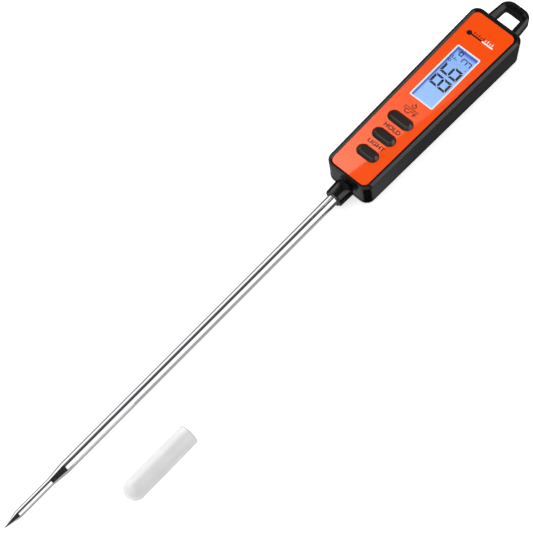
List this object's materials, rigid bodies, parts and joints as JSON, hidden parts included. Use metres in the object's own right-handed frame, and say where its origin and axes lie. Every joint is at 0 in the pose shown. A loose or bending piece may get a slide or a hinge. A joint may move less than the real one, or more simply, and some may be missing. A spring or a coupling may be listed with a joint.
{
  "type": "probe thermometer",
  "caption": "Long-stem digital probe thermometer with backlit display, push buttons, hanging loop, pointed steel probe and a loose tip cap lying beside it.",
  "frame": {"origin": "centre of the handle's flat back, on the surface it lies on", "axes": "+X along the probe's axis toward the hanging loop, +Z out of the face, the cap lying on the -Y side"},
  "size_m": [0.3308, 0.0464, 0.0185],
  "materials": {
    "casing_black": "satin moulded black plastic",
    "panel_orange": "glossy orange printed face sheet",
    "frame_white": "white plastic",
    "window_clear": "clear polished lens",
    "lcd_blue": "backlit blue liquid crystal display",
    "guide_clear": "clear light guide",
    "button_black": "glossy black plastic",
    "probe_steel": "polished stainless steel",
    "screw_steel": "plain steel",
    "seal_rubber": "matt black rubber",
    "board_green": "green solder mask",
    "chip_black": "matt black epoxy",
    "contact_gold": "plated spring strip",
    "wire_red": "insulated lead",
    "potting_grey": "grey heat-conducting resin",
    "cap_milky": "milky translucent plastic"
  },
  "bodies": {
    "handle": {"front_case": "casing_black", "back_cover": "casing_black", "case_gasket": "seal_rubber", "hang_loop": "casing_black", "face_panel": "panel_orange", "window_frame": "frame_white", "display_window": "window_clear", "lcd_glass": "lcd_blue", "lcd_holder": "frame_white", "light_guide": "guide_clear", "backlight_led": "frame_white", "zebra_strip": "seal_rubber", "circuit_board": "board_green", "controller_chip": "chip_black", "light_switch": "chip_black", "hold_switch": "chip_black", "power_switch": "chip_black", "battery_cell": "probe_steel", "battery_contact_negative": "contact_gold", "battery_contact_positive": "contact_gold", "probe_tube": "probe_steel", "probe_collar": "casing_black", "collar_seal": "seal_rubber", "probe_ferrule": "probe_steel", "thermistor_bead": "chip_black", "tip_filler": "potting_grey", "sensor_wire_a": "wire_red", "sensor_wire_b": "wire_red", "case_screw_1": "screw_steel", "case_screw_2": "screw_steel", "case_screw_3": "screw_steel", "case_screw_4": "screw_steel"},
    "light_key": {"light_button": "button_black"},
    "hold_key": {"hold_button": "button_black"},
    "power_key": {"power_button": "button_black"},
    "battery_door": {"battery_cover": "casing_black", "battery_cover_seal": "seal_rubber"},
    "cap": {"tip_cap": "cap_milky"}
  },
  "joints": [
    {"name": "light_press", "type": "slide", "parent": "handle", "child": "light_key", "axis": [0, 0, -1], "range_m": [0, 0.0005], "stiffness_N_per_m": 1000, "springref_m": -0.0003},
    {"name": "hold_press", "type": "slide", "parent": "handle", "child": "hold_key", "axis": [0, 0, -1], "range_m": [0, 0.0005], "stiffness_N_per_m": 1000, "springref_m": -0.0003},
    {"name": "power_press", "type": "slide", "parent": "handle", "child": "power_key", "axis": [0, 0, -1], "range_m": [0, 0.0005], "stiffness_N_per_m": 1000, "springref_m": -0.0003},
    {"name": "battery_cover_turn", "type": "hinge", "parent": "handle", "child": "battery_door", "pos_m": [0.027, 0, 0.001], "axis": [0, 0, -1], "range_deg": [0, 45]},
    {"name": "cap_slide", "type": "slide", "parent": "handle", "child": "cap", "axis": [-0.9655, 0.2602, 0.0071], "range_m": [0, 0.10626]}
  ]
}
